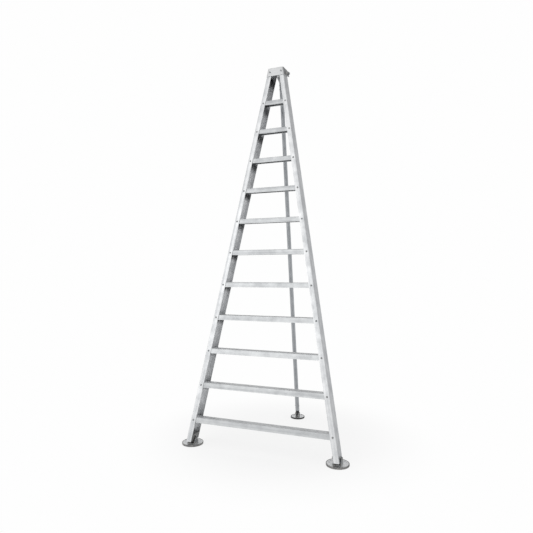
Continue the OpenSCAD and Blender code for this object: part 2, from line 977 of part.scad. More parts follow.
stile("left");  // left_stile
stile("right");  // right_stile
for (i = [1:step_count])
    step(i);
step_rivets("left");  // left_step_rivets
step_rivets("right");  // right_step_rivets
head();
head_bolts();
head_nuts();
hinge_bolt();
hinge_washers();
hinge_nut();
stile_plug("left");  // left_stile_plug
stile_plug("right");  // right_stile_plug
stile_plug_rivets();
leg_head();
hinge_bushes();
leg_tube();
leg_cross_pins();
leg_plug();
for (foot = ["left", "right", "rear"]) {
    foot_sole(foot);
    foot_plate(foot);
    foot_yoke(foot);
    foot_rivets(foot);
    foot_bolt(foot);
    foot_nut(foot);
}
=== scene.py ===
# %% [markdown]
# # A three-legged orchard ladder
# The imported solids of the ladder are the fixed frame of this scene, in metres, with the front towards -Y.
# Everything made here dresses that frame: a finish for every surface, and finer pieces where a maker's
# detail, such as a broken edge, a rivet's dome or a rubber lip, is smaller than the solids carry.

# %% Load the ladder
import json
import math

import bpy
from mathutils import Euler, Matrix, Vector


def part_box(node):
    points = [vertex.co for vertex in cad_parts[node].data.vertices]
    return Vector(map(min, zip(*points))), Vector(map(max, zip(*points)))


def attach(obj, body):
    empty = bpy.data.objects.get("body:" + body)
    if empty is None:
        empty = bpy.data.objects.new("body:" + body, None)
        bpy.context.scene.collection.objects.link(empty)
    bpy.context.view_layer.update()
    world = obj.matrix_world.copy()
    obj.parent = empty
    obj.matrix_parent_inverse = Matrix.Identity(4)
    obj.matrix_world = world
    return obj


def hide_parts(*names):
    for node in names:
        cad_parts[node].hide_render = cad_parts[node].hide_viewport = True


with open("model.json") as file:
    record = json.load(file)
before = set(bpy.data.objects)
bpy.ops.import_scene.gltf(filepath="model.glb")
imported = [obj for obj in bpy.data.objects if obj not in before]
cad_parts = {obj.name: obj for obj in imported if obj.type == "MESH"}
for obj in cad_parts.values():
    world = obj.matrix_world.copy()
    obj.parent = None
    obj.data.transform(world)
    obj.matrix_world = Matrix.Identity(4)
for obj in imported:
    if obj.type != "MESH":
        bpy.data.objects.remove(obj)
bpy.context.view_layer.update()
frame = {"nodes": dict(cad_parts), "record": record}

nodes = frame["nodes"]
body_of = {name: body for body, names in frame["record"]["behaviour"]["bodies"].items() for name in names}
slot_of = {row["node"]: row["material_slot"] for row in frame["record"]["subparts"]}
bpy.ops.object.select_all(action="DESELECT")

# %% [markdown]
# ## Camera
# The picture was taken from the ladder's right, a little below half its height, with a wide lens that looks
# slightly up. A camera can be set by eye, but eleven level steps at one pitch are as good as a ruler, so the
# place, the angles and the lens come from fitting the step ends, the stile edges and the feet. The small
# vertical shift stands for a frame that was trimmed more at the top than at the bottom.

# %% Place the camera
CAMERA_PLACE = (1.2447, -3.5660, 1.2534)
LOOKS_UP = math.radians(5.94)
LOOKS_LEFT = math.radians(20.973)
FILM_WIDTH = 36
LENS = 30.993
FRAME_DOWN = 0.075

camera_data = bpy.data.cameras.new("camera")
camera_data.sensor_width = FILM_WIDTH
camera_data.lens = LENS
camera_data.shift_y = -FRAME_DOWN
camera = bpy.data.objects.new("camera", camera_data)
camera.location = CAMERA_PLACE
camera.rotation_euler = (math.pi / 2 + LOOKS_UP, 0, LOOKS_LEFT)
bpy.context.scene.collection.objects.link(camera)
bpy.context.scene.camera = camera
bpy.context.scene.view_settings.view_transform = "Standard"
print("camera at", CAMERA_PLACE)

# %% [markdown]
# ## Colours and nodes
# Colours are written as sRGB hex values, as in a paint chart, and turned to the linear values that a
# renderer works with. Node trees could be wired socket by socket, which takes three lines a node. One helper
# that adds a node, sets its options and feeds its inputs keeps a material as short as its recipe.

# %% Helpers for materials
MM = 0.001
# A Mix node has a set of sockets for each kind of value. These are the numbers of the colour set.
FACTOR, FIRST, SECOND, MIXED = 0, 6, 7, 2


def linear(hex_colour):
    """Linear RGBA of an sRGB hex colour."""
    parts = [int(hex_colour[i:i + 2], 16) / 255 for i in (1, 3, 5)]
    return [c / 12.92 if c <= 0.04045 else ((c + 0.055) / 1.055) ** 2.4 for c in parts] + [1.0]


def add_node(tree, kind, inputs=None, **settings):
    """Adds a node; an input is a plain value or another node's output."""
    node = tree.nodes.new(kind)
    for name, value in settings.items():
        setattr(node, name, value)
    for name, value in (inputs or {}).items():
        if isinstance(value, bpy.types.NodeSocket):
            tree.links.new(value, node.inputs[name])
        else:
            node.inputs[name].default_value = value
    return node


def new_material(name):
    """An empty node material and its tree."""
    material = bpy.data.materials.new(name)
    material.use_nodes = True
    material.node_tree.nodes.clear()
    return material, material.node_tree


print("mid grey is", [round(c, 3) for c in linear("#808080")])

# %% [markdown]
# ## Floor and light
# A photographer would stand the ladder on white paper, with one tall soft box at the front left, pale walls
# and a dimmer ceiling. A picture of a studio could light it too, but with one lamp and a plain world it is
# clear what does what. Bare metal has little colour of its own, so what it mirrors is what it looks like:
# the box whitens the front faces, the walls lighten the insides of the channels, and the ceiling greys what
# looks up. The camera and the reflections see the paper as white, and close to the ladder the paper keeps
# part of the real shade, so the feet stand on it.

# %% Floor
WHITE = "#fefefe"
PAPER = "#f6f6f6"
PAPER_SIZE = 60
BELOW_SOLES = 1 * MM
# Share of plain white in the paper near the ladder
NEAR_WHITENESS = 0.78
# Metres from the ladder's middle to where the shade begins to fade, and to where it is gone
SHADED_TO, WHITE_FROM = 0.45, 1.25

bpy.ops.mesh.primitive_plane_add(size=PAPER_SIZE, location=(0, 0, -BELOW_SOLES))
floor = bpy.context.object
floor.name = "floor"
paper, tree = new_material("white_paper")
path = add_node(tree, "ShaderNodeLightPath").outputs
seen = add_node(tree, "ShaderNodeMath", {
    0: path["Is Camera Ray"], 1: path["Is Glossy Ray"],
}, operation="MAXIMUM").outputs[0]
seen = add_node(tree, "ShaderNodeMath", {
    0: seen, 1: path["Is Transmission Ray"],
}, operation="MAXIMUM").outputs[0]
place = add_node(tree, "ShaderNodeTexCoord").outputs["Object"]
away = add_node(tree, "ShaderNodeVectorMath", {0: place}, operation="LENGTH").outputs["Value"]
whiteness = add_node(tree, "ShaderNodeMapRange", {
    "Value": away, "From Min": SHADED_TO, "From Max": WHITE_FROM, "To Min": NEAR_WHITENESS, "To Max": 1.0,
}, interpolation_type="SMOOTHSTEP").outputs[0]
share = add_node(tree, "ShaderNodeMath", {0: seen, 1: whiteness}, operation="MULTIPLY").outputs[0]
matt = add_node(tree, "ShaderNodeBsdfDiffuse", {"Color": linear(PAPER)}).outputs[0]
glow = add_node(tree, "ShaderNodeEmission", {"Color": linear(WHITE), "Strength": 1.0}).outputs[0]
mixed = add_node(tree, "ShaderNodeMixShader", {0: share, 1: matt, 2: glow}).outputs[0]
add_node(tree, "ShaderNodeOutputMaterial", {"Surface": mixed})
floor.data.materials.append(paper)
print("floor", [round(side) for side in floor.dimensions[:2]], "m")

# %% World
ROOM_LIGHT = 0.75
WALL_SHINE, CEILING_SHINE = 1.0, 0.6
# How steeply a direction rises, from 0 for level to 1 for straight up
CEILING_FROM, CEILING_FULL = 0.3, 0.6

world = bpy.data.worlds.new("studio")
bpy.context.scene.world = world
world.use_nodes = True
tree = world.node_tree
tree.nodes.clear()
path = add_node(tree, "ShaderNodeLightPath").outputs
way = add_node(tree, "ShaderNodeTexCoord").outputs["Generated"]
height = add_node(tree, "ShaderNodeSeparateXYZ", {"Vector": way}).outputs["Z"]
shine = add_node(tree, "ShaderNodeMapRange", {
    "Value": height, "From Min": CEILING_FROM, "From Max": CEILING_FULL,
    "To Min": WALL_SHINE, "To Max": CEILING_SHINE,
}, interpolation_type="SMOOTHSTEP").outputs[0]
lights = add_node(tree, "ShaderNodeBackground", {"Color": linear(WHITE), "Strength": ROOM_LIGHT}).outputs[0]
shines = add_node(tree, "ShaderNodeBackground", {"Color": linear(WHITE), "Strength": shine}).outputs[0]
backdrop = add_node(tree, "ShaderNodeBackground", {"Color": linear(WHITE), "Strength": 1.0}).outputs[0]
mirrored = add_node(tree, "ShaderNodeMath", {
    0: path["Is Glossy Ray"], 1: path["Is Transmission Ray"],
}, operation="MAXIMUM").outputs[0]
room = add_node(tree, "ShaderNodeMixShader", {0: mirrored, 1: lights, 2: shines}).outputs[0]
room = add_node(tree, "ShaderNodeMixShader", {0: path["Is Camera Ray"], 1: room, 2: backdrop}).outputs[0]
add_node(tree, "ShaderNodeOutputWorld", {"Surface": room})
print("world:", len(tree.nodes), "nodes")

# %% Soft box
BOX_WIDTH, BOX_HEIGHT = 5.0, 9.0
BOX_POWER = 88
BOX_PLACE = Vector((-2.6, -5.4, 4.2))
BOX_AIM = Vector((0, 0, 2.4))

lamp = bpy.data.lights.new("front_left_box", "AREA")
lamp.shape = "RECTANGLE"
lamp.size = BOX_WIDTH
lamp.size_y = BOX_HEIGHT
lamp.energy = BOX_POWER
soft_box = bpy.data.objects.new("front_left_box", lamp)
soft_box.location = BOX_PLACE
soft_box.rotation_euler = (BOX_AIM - BOX_PLACE).to_track_quat("-Z", "Y").to_euler()
soft_box.visible_camera = False
bpy.context.scene.collection.objects.link(soft_box)
print("soft box", lamp.size, "by", lamp.size_y, "m")

# %% [markdown]
# ## Extruded and drawn aluminium
# The stiles, the steps and the leg's tube are pushed or drawn through a die and left bare. The die leaves
# fine lines along the bar and faint bands of brighter and duller metal. A picture of such metal could be
# wrapped round each bar, but a pattern in space needs no wrapping and suits a bar of any length. It is noise
# that is stretched along Z, so each bar's own direction is turned to Z first. True die lines are about
# 0.5 mm apart. They are drawn 3 mm apart, to show at this size.

# %% Die marks
LINE, LINE_RUN = 3 * MM, 700 * MM
BAND, BAND_RUN = 16 * MM, 1400 * MM


def die_marks(tree, along, width, run, detail):
    """The marks of a die, as wide and as long along Z as given."""
    drawn_out = add_node(tree, "ShaderNodeVectorMath", {
        0: along, 1: (1 / width, 1 / width, 1 / run),
    }, operation="MULTIPLY").outputs[0]
    return add_node(tree, "ShaderNodeTexNoise", {
        "Vector": drawn_out, "Scale": 1.0, "Detail": detail,
    }).outputs["Fac"]


print("die lines", LINE / MM, "mm apart, bands", BAND / MM, "mm apart")

# %% [markdown]
# ## Painted light and shade on the bars
# Some sides of the bars have painted light and shade in their colour. The outer sides are painted darker as
# shade, the insides of the channels are painted brighter as light, and the tops of the treads are painted
# brighter as light. A dark painted shadow lies on the inner walls behind and just below each step. Every
# side could have a material of its own, but then faces would have to be picked on each piece. Here the
# material asks which way a face looks, and, because the steps have one pitch, the height alone says how far
# below a tread it lies.

# %% Painted shadow below the steps
step_names = sorted(name for name in nodes if name.startswith("step_"))
STEP_LOW, STEP_HIGH = [corner.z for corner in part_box(step_names[0])]
STEP_PITCH = (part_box(step_names[-1])[0].z - STEP_LOW) / (len(step_names) - 1)
# Places below a tread, as shares of the pitch
# Where the painted shadow starts, where it is full and where it ends below each tread
STEP_SHADOW_TOP = 15 * MM / STEP_PITCH
STEP_SHADOW_FULL = (STEP_HIGH - STEP_LOW) / STEP_PITCH
STEP_SHADOW_END = STEP_SHADOW_FULL + 50 * MM / STEP_PITCH


def painted_step_shadow(tree, place, mottle):
    """The share of painted shadow on a wall: patchy behind each step, and fading out just below it."""
    height = add_node(tree, "ShaderNodeSeparateXYZ", {"Vector": place}).outputs["Z"]
    below = add_node(tree, "ShaderNodeMapRange", {
        "Value": height, "From Min": STEP_HIGH, "From Max": STEP_HIGH - STEP_PITCH,
    }, clamp=False).outputs[0]
    below = add_node(tree, "ShaderNodeMath", {0: below}, operation="FRACT").outputs[0]
    step_shadow = add_node(tree, "ShaderNodeMapRange", {
        "Value": below, "From Min": STEP_SHADOW_FULL, "From Max": STEP_SHADOW_END, "To Min": 1.0, "To Max": 0.0,
    }, interpolation_type="SMOOTHSTEP").outputs[0]
    starts = add_node(tree, "ShaderNodeMapRange", {"Value": below, "From Max": STEP_SHADOW_TOP}).outputs[0]
    patchy = add_node(tree, "ShaderNodeMapRange", {
        "Value": mottle, "From Min": 0.3, "From Max": 0.55, "To Min": 0.6, "To Max": 1.0,
    }).outputs[0]
    for share in (starts, patchy):
        step_shadow = add_node(tree, "ShaderNodeMath", {0: step_shadow, 1: share}, operation="MULTIPLY").outputs[0]
    return step_shadow


print("steps:", len(step_names), "at a pitch of", round(STEP_PITCH / MM), "mm")

# %% Sides with painted light and shade
# Cosines of the angle between a face's normal and the way
SIDE_FROM, SIDE_FULL = 0.8, 0.95


def painted_side_shades(tree, place, mottle, shade, colour, sides):
    """A bar's colour with the painted light and shade, and the painted shadow if any, of the sides that look
    given ways.
    """
    outward = add_node(tree, "ShaderNodeNewGeometry").outputs["True Normal"]
    # Painted light and shade: each side that looks a given way gets colours of its own
    for way, (dull, bright, step_shadow) in sides.items():
        facing = add_node(tree, "ShaderNodeVectorMath", {
            0: outward, 1: way,
        }, operation="DOT_PRODUCT").outputs["Value"]
        facing = add_node(tree, "ShaderNodeMapRange", {
            "Value": facing, "From Min": SIDE_FROM, "From Max": SIDE_FULL,
        }).outputs[0]
        own = add_node(tree, "ShaderNodeMix", {
            FACTOR: shade, FIRST: linear(dull), SECOND: linear(bright),
        }, data_type="RGBA").outputs[MIXED]
        # Painted shadow below each step, on the sides that have a shadow colour
        if step_shadow:
            own = add_node(tree, "ShaderNodeMix", {
                FACTOR: painted_step_shadow(tree, place, mottle), FIRST: own, SECOND: linear(step_shadow),
            }, data_type="RGBA").outputs[MIXED]
        colour = add_node(tree, "ShaderNodeMix", {
            FACTOR: facing, FIRST: colour, SECOND: own,
        }, data_type="RGBA").outputs[MIXED]
    return colour


print("a side counts in full within", round(math.degrees(math.acos(SIDE_FULL))), "degrees of its way")

# %% [markdown]
# ## Bare bars
# Out of doors, bare aluminium weathers to a soft grey mottle over the die's bands. Where it is brighter it
# is also smoother, so one noise drives both. The left stile, the right stile, the steps and the leg's tube
# could be four materials made by hand, but they differ only in direction and shades, so one recipe makes
# them all.

# %% Bare bars
MOTTLE = 70 * MM
LINE_DEPTH = 0.2 * MM


def bare_bar(name, turn, shades, sides):
    """Mill-finish aluminium of a bar that lies along Z after the turn, with painted light and shade on some
    sides.
    """
    material, tree = new_material(name)
    place = add_node(tree, "ShaderNodeTexCoord").outputs["Object"]
    along = add_node(tree, "ShaderNodeMapping", {"Vector": place, "Rotation": turn}).outputs[0]
    lines = die_marks(tree, along, LINE, LINE_RUN, detail=2.0)
    bands = die_marks(tree, along, BAND, BAND_RUN, detail=1.0)
    mottle = add_node(tree, "ShaderNodeTexNoise", {
        "Vector": place, "Scale": 1 / MOTTLE, "Detail": 5.0, "Roughness": 0.65,
    }).outputs["Fac"]
    shade = add_node(tree, "ShaderNodeMath", {0: bands, 1: mottle}, operation="ADD").outputs[0]
    shade = add_node(tree, "ShaderNodeMapRange", {
        "Value": shade, "From Min": 0.75, "From Max": 1.25,
    }).outputs[0]
    colour = add_node(tree, "ShaderNodeMix", {
        FACTOR: shade, FIRST: linear(shades[0]), SECOND: linear(shades[1]),
    }, data_type="RGBA").outputs[MIXED]
    colour = painted_side_shades(tree, place, mottle, shade, colour, sides)
    rough = add_node(tree, "ShaderNodeMapRange", {
        "Value": mottle, "From Min": 0.3, "From Max": 0.7, "To Min": 0.44, "To Max": 0.3,
    }).outputs[0]
    relief = add_node(tree, "ShaderNodeBump", {
        "Height": lines, "Strength": 0.3, "Distance": LINE_DEPTH,
    }).outputs[0]
    skin = add_node(tree, "ShaderNodeBsdfPrincipled", {
        "Base Color": colour, "Metallic": 1.0, "Roughness": rough, "Normal": relief,
    })
    add_node(tree, "ShaderNodeOutputMaterial", {"Surface": skin.outputs[0]})
    return material


print("mottle", MOTTLE / MM, "mm across")

# %% The four bars
# Slopes of the stiles, back and inwards, and of the leg
LEAN = math.radians(7.4)
SPLAY = math.radians(9.7)
LEG_LEAN = math.radians(8.2)
LEFT, RIGHT, UP = (-1, 0, 0), (1, 0, 0), (0, 0, 1)
# Dull and bright shade of a bar
STILE = ("#c0c2c4", "#dcddde")
STEP = ("#afb1b3", "#c6c8c9")
TUBE = ("#96999c", "#acafb2")
# Dull and bright colour of a side's painted light and shade, and the colour of the painted shadow below the
# steps, if any
# Outer sides painted darker as shade
PAINTED_SHADE_OUTSIDE = ("#9c9ea1", "#b0b2b4", None)
# Channel insides painted brighter as light, with a dark painted shadow below each step
PAINTED_LIGHT_AND_SHADOW_INSIDE = ("#e4e5e6", "#f4f4f5", "#262728")
# Tread tops painted brighter as light
PAINTED_LIGHT_TOP = ("#e2e3e4", "#f2f2f3", None)

left_bar = bare_bar("left_extruded_aluminium", (LEAN, -SPLAY, 0), STILE, {LEFT: PAINTED_SHADE_OUTSIDE, RIGHT: PAINTED_LIGHT_AND_SHADOW_INSIDE})
right_bar = bare_bar("right_extruded_aluminium", (LEAN, SPLAY, 0), STILE, {RIGHT: PAINTED_SHADE_OUTSIDE, LEFT: PAINTED_LIGHT_AND_SHADOW_INSIDE})
step_bar = bare_bar("step_extruded_aluminium", (0, -math.pi / 2, 0), STEP, {UP: PAINTED_LIGHT_TOP})
tube_bar = bare_bar("drawn_aluminium_tube", (-LEG_LEAN, 0, 0), TUBE, {})
print("bars:", left_bar.name, right_bar.name, step_bar.name, tube_bar.name)

# %% [markdown]
# ## Cast aluminium
# The head over the stile tops and the leg's own head are cast, then shot clean. A casting has no lines: it
# has a fine sandy grain and patches that the blasting left a little brighter. True grain is near 0.6 mm, and
# it is drawn at 2 mm to show. It could be modelled, but as bump it costs no faces. The cheeks, the faces
# that look sideways, are painted much darker as shade, and the smooth normal fades this painted shade round
# the corners.

# %% Cast aluminium
GRAIN = 2 * MM
GRAIN_DEPTH = 0.4 * MM
PATCH = 25 * MM
CHEEK_FROM = 0.6

cast, tree = new_material("sand_cast_aluminium")
place = add_node(tree, "ShaderNodeTexCoord").outputs["Object"]
grain = add_node(tree, "ShaderNodeTexNoise", {
    "Vector": place, "Scale": 1 / GRAIN, "Detail": 3.0,
}).outputs["Fac"]
patch = add_node(tree, "ShaderNodeTexNoise", {
    "Vector": place, "Scale": 1 / PATCH, "Detail": 4.0,
}).outputs["Fac"]
cast_face = add_node(tree, "ShaderNodeMix", {
    FACTOR: patch, FIRST: linear("#cdcecf"), SECOND: linear("#e0e1e2"),
}, data_type="RGBA").outputs[MIXED]
# Painted shade: the darker colour of the sideways cheeks
painted_shade_cheek = add_node(tree, "ShaderNodeMix", {
    FACTOR: patch, FIRST: linear("#6f7174"), SECOND: linear("#8b8d8f"),
}, data_type="RGBA").outputs[MIXED]
outward = add_node(tree, "ShaderNodeNewGeometry").outputs["Normal"]
sideways = add_node(tree, "ShaderNodeSeparateXYZ", {"Vector": outward}).outputs["X"]
sideways = add_node(tree, "ShaderNodeMath", {0: sideways}, operation="ABSOLUTE").outputs[0]
# How far a face is a cheek, and so how much painted shade it takes
cheek_shade_share = add_node(tree, "ShaderNodeMapRange", {
    "Value": sideways, "From Min": CHEEK_FROM, "From Max": SIDE_FULL,
}, interpolation_type="SMOOTHSTEP").outputs[0]
colour = add_node(tree, "ShaderNodeMix", {
    FACTOR: cheek_shade_share, FIRST: cast_face, SECOND: painted_shade_cheek,
}, data_type="RGBA").outputs[MIXED]
rough = add_node(tree, "ShaderNodeMapRange", {"Value": grain, "To Min": 0.42, "To Max": 0.56}).outputs[0]
relief = add_node(tree, "ShaderNodeBump", {
    "Height": grain, "Strength": 0.35, "Distance": GRAIN_DEPTH,
}).outputs[0]
skin = add_node(tree, "ShaderNodeBsdfPrincipled", {
    "Base Color": colour, "Metallic": 1.0, "Roughness": rough, "Normal": relief,
})
add_node(tree, "ShaderNodeOutputMaterial", {"Surface": skin.outputs[0]})
print("cast:", cast.name)

# %% [markdown]
# ## Pressed sheet
# The foot plates are pressed from aluminium sheet. Soil and boots scuff them, so small dull patches, some
# millimetres across, break the rolled finish. One even grey would look like paint. The same noise that dulls
# the colour also roughens the skin and dents it a little, because a scuff does all three.

# %% Pressed sheet
SCUFF = 8 * MM
SCUFF_DEPTH = 0.3 * MM

sheet, tree = new_material("pressed_aluminium_sheet")
place = add_node(tree, "ShaderNodeTexCoord").outputs["Object"]
scuff = add_node(tree, "ShaderNodeTexNoise", {
    "Vector": place, "Scale": 1 / SCUFF, "Detail": 6.0, "Roughness": 0.7,
}).outputs["Fac"]
worn = add_node(tree, "ShaderNodeMapRange", {"Value": scuff, "From Min": 0.42, "From Max": 0.62}).outputs[0]
colour = add_node(tree, "ShaderNodeMix", {
    FACTOR: worn, FIRST: linear("#e6e7e8"), SECOND: linear("#c6c8ca"),
}, data_type="RGBA").outputs[MIXED]
rough = add_node(tree, "ShaderNodeMapRange", {"Value": worn, "To Min": 0.34, "To Max": 0.55}).outputs[0]
relief = add_node(tree, "ShaderNodeBump", {
    "Height": scuff, "Strength": 0.2, "Distance": SCUFF_DEPTH,
}).outputs[0]
skin = add_node(tree, "ShaderNodeBsdfPrincipled", {
    "Base Color": colour, "Metallic": 1.0, "Roughness": rough, "Normal": relief,
})
add_node(tree, "ShaderNodeOutputMaterial", {"Surface": skin.outputs[0]})
print("sheet:", sheet.name)

# %% [markdown]
# ## Rubber and nylon
# The soles are moulded rubber, matt and faintly pebbled, with patches of dust. The front ones are a lighter
# grey and the rear one nearly black. The plugs in the stile and leg ends and the hinge bushes are moulded
# nylon, which is smoother and has the fine spark grain of the mould, near 0.5 mm and drawn at 1 mm. The
# large plugs stand in the shade of the stile channels, and their nylon is painted a lighter grey as light.
# Each could be two materials made by hand. They are one recipe with two shades, so each is a function.

# %% Rubber
DUST = 14 * MM
PEBBLE = 1.6 * MM
PEBBLE_DEPTH = 0.3 * MM


def moulded_rubber(name, black, dusted):
    """Matt rubber with patches of dust and a pebbled mould skin."""
    material, tree = new_material(name)
    place = add_node(tree, "ShaderNodeTexCoord").outputs["Object"]
    dust = add_node(tree, "ShaderNodeTexNoise", {
        "Vector": place, "Scale": 1 / DUST, "Detail": 5.0,
    }).outputs["Fac"]
    pebble = add_node(tree, "ShaderNodeTexNoise", {
        "Vector": place, "Scale": 1 / PEBBLE, "Detail": 2.0,
    }).outputs["Fac"]
    dusty = add_node(tree, "ShaderNodeMapRange", {
        "Value": dust, "From Min": 0.4, "From Max": 0.7,
    }).outputs[0]
    colour = add_node(tree, "ShaderNodeMix", {
        FACTOR: dusty, FIRST: linear(black), SECOND: linear(dusted),
    }, data_type="RGBA").outputs[MIXED]
    rough = add_node(tree, "ShaderNodeMapRange", {"Value": dusty, "To Min": 0.72, "To Max": 0.92}).outputs[0]
    relief = add_node(tree, "ShaderNodeBump", {
        "Height": pebble, "Strength": 0.3, "Distance": PEBBLE_DEPTH,
    }).outputs[0]
    skin = add_node(tree, "ShaderNodeBsdfPrincipled", {
        "Base Color": colour, "Roughness": rough, "Normal": relief, "IOR": 1.52,
    })
    add_node(tree, "ShaderNodeOutputMaterial", {"Surface": skin.outputs[0]})
    return material


# The front soles are a lighter grey and the rear one nearly black
grey_rubber = moulded_rubber("grey_moulded_rubber", "#747475", "#a09f9c")
black_rubber = moulded_rubber("black_moulded_rubber", "#3a3a3b", "#5a5957")
print("rubbers:", grey_rubber.name, black_rubber.name)

# %% Nylon
SPARK = 1 * MM
SPARK_DEPTH = 0.15 * MM


def moulded_nylon(name, deep, faded):
    """Smooth nylon with faded clouds and the spark grain of its mould."""
    material, tree = new_material(name)
    place = add_node(tree, "ShaderNodeTexCoord").outputs["Object"]
    spark = add_node(tree, "ShaderNodeTexNoise", {
        "Vector": place, "Scale": 1 / SPARK, "Detail": 2.0,
    }).outputs["Fac"]
    cloud = add_node(tree, "ShaderNodeTexNoise", {
        "Vector": place, "Scale": 1 / PATCH, "Detail": 3.0,
    }).outputs["Fac"]
    colour = add_node(tree, "ShaderNodeMix", {
        FACTOR: cloud, FIRST: linear(deep), SECOND: linear(faded),
    }, data_type="RGBA").outputs[MIXED]
    rough = add_node(tree, "ShaderNodeMapRange", {"Value": cloud, "To Min": 0.4, "To Max": 0.58}).outputs[0]
    relief = add_node(tree, "ShaderNodeBump", {
        "Height": spark, "Strength": 0.2, "Distance": SPARK_DEPTH,
    }).outputs[0]
    skin = add_node(tree, "ShaderNodeBsdfPrincipled", {
        "Base Color": colour, "Roughness": rough, "Normal": relief, "IOR": 1.53,
    })
    add_node(tree, "ShaderNodeOutputMaterial", {"Surface": skin.outputs[0]})
    return material


black_nylon = moulded_nylon("black_moulded_nylon", "#242528", "#36373a")
# Painted light: a lighter grey for the plugs in the shaded stile ends
lightened_nylon = moulded_nylon("painted_light_moulded_nylon", "#5f6061", "#858583")
print("nylons:", black_nylon.name, lightened_nylon.name)

# %% [markdown]
# ## Plated steel
# Bolts, nuts, washers and yokes are steel with a bright zinc coat. Passivated zinc is never one colour: it
# drifts between a cool and a warm grey over a few centimetres, with small crystals that spread its gleam.
# Crystals are cells with edges, so they are drawn by a cell pattern and not by noise, and only the roughness
# follows them. The rivets are plainer and darker, because their heads are hammered and pick up soil.

# %% Plated steel
DRIFT = 18 * MM
CRYSTAL = 1.5 * MM


def plated_steel(name, cool, warm, gleam):
    """Zinc-plated steel that drifts between two greys, with a range of roughness for its crystals."""
    material, tree = new_material(name)
    place = add_node(tree, "ShaderNodeTexCoord").outputs["Object"]
    drift = add_node(tree, "ShaderNodeTexNoise", {
        "Vector": place, "Scale": 1 / DRIFT, "Detail": 3.0,
    }).outputs["Fac"]
    crystal = add_node(tree, "ShaderNodeTexVoronoi", {
        "Vector": place, "Scale": 1 / CRYSTAL,
    }).outputs["Distance"]
    tint = add_node(tree, "ShaderNodeMapRange", {
        "Value": drift, "From Min": 0.35, "From Max": 0.65,
    }).outputs[0]
    colour = add_node(tree, "ShaderNodeMix", {
        FACTOR: tint, FIRST: linear(cool), SECOND: linear(warm),
    }, data_type="RGBA").outputs[MIXED]
    rough = add_node(tree, "ShaderNodeMapRange", {
        "Value": crystal, "To Min": gleam[0], "To Max": gleam[1],
    }).outputs[0]
    skin = add_node(tree, "ShaderNodeBsdfPrincipled", {
        "Base Color": colour, "Metallic": 1.0, "Roughness": rough,
    })
    add_node(tree, "ShaderNodeOutputMaterial", {"Surface": skin.outputs[0]})
    return material


zinc = plated_steel("zinc_plated_steel", "#8d9299", "#a19f99", (0.3, 0.45))
rivet_steel = plated_steel("hammered_rivet_steel", "#8b8e91", "#9e9d9a", (0.38, 0.5))
print("steels:", zinc.name, rivet_steel.name)

# %% [markdown]
# ## Dressing the solids
# Finishes could be given piece by piece, but the record already says which pieces are of one stuff. So
# every node takes the finish of its slot in the record, apart from a few that have their own. The two stiles
# have a bar material each, because their die lines run along two different slopes. The stile plugs have the
# nylon painted lighter as light, and the rear sole has the darker shade of the rubber.

# %% Dress the nodes
finishes = {
    "stile_aluminium": right_bar,
    "step_aluminium": step_bar,
    "cast_aluminium": cast,
    "tube_aluminium": tube_bar,
    "plate_aluminium": sheet,
    "sole_rubber": grey_rubber,
    "black_nylon": black_nylon,
    "rivet_steel": rivet_steel,
    "zinc_steel": zinc,
}
own_finishes = {
    "left_stile": left_bar,
    # The stile plugs take the nylon painted lighter as light
    "left_stile_plug": lightened_nylon,
    "right_stile_plug": lightened_nylon,
    "rear_foot_sole": black_rubber,
}


def finish_of(name):
    """The material of a node."""
    return own_finishes.get(name, finishes[slot_of[name]])


for name, node in nodes.items():
    node.data.materials.clear()
    node.data.materials.append(finish_of(name))
print("dressed nodes:", len(nodes))

# %% [markdown]
# ## Working on copies
# The finer pieces start as copies of the solids, or as turned shapes, and then take the solids' place. They
# could be modelled anew from sizes, but a copy can't miss its place. A copy comes in loose triangles, so it
# is first merged and its flat sides made whole. A piece keeps its node's body and finish.

# %% Open and copy a piece
SAME_POINT = 0.004 * MM
SAME_PLANE = math.radians(0.5)


def open_piece(piece, mode="EDGE"):
    """Opens one piece for editing, with everything on it selected."""
    bpy.ops.object.select_all(action="DESELECT")
    bpy.context.view_layer.objects.active = piece
    piece.select_set(True)
    bpy.ops.object.mode_set(mode="EDIT")
    bpy.ops.mesh.select_mode(type=mode)
    bpy.ops.mesh.select_all(action="SELECT")


def close_piece():
    """Back to whole objects."""
    bpy.ops.object.mode_set(mode="OBJECT")


def merged_copy(name):
    """A new piece with the merged mesh of a node."""
    piece = bpy.data.objects.new(name + "_piece", nodes[name].data.copy())
    bpy.context.scene.collection.objects.link(piece)
    open_piece(piece)
    bpy.ops.mesh.customdata_custom_splitnormals_clear()
    bpy.ops.mesh.remove_doubles(threshold=SAME_POINT)
    bpy.ops.mesh.dissolve_limited(angle_limit=SAME_PLANE)
    close_piece()
    return piece


print("points merge within", SAME_POINT / MM, "mm")

# %% Finish a piece
def add_modifier(piece, kind, **settings):
    """Adds a modifier to the active piece and applies it."""
    modifier = piece.modifiers.new(kind.lower(), kind)
    for name, value in settings.items():
        setattr(modifier, name, value)
    bpy.ops.object.modifier_apply(modifier=modifier.name)


def stand_for(piece, name):
    """Lets a finished piece take a node's place, with its body and finish."""
    piece.data.materials.clear()
    piece.data.materials.append(finish_of(name))
    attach(piece, body_of[name])
    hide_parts(name)


print("slots in use:", len(set(slot_of.values())))

# %% [markdown]
# ## Broken edges
# No edge on a made thing is perfectly sharp. Extrusions leave the die with small corner radii, and sheared,
# forged and moulded pieces have larger ones. The thin bright line that such an edge catches is what tells
# the eye where one face stops. A shader can fake that line, but then the mesh stays sharp. So each copy is
# bevelled at its sharp edges, and weighted normals keep its flat faces flat.

# %% Break the edges
SHARP_FROM = math.radians(35)
SMOOTH_TO = math.radians(40)
STEP_EDGE = 0.5 * MM
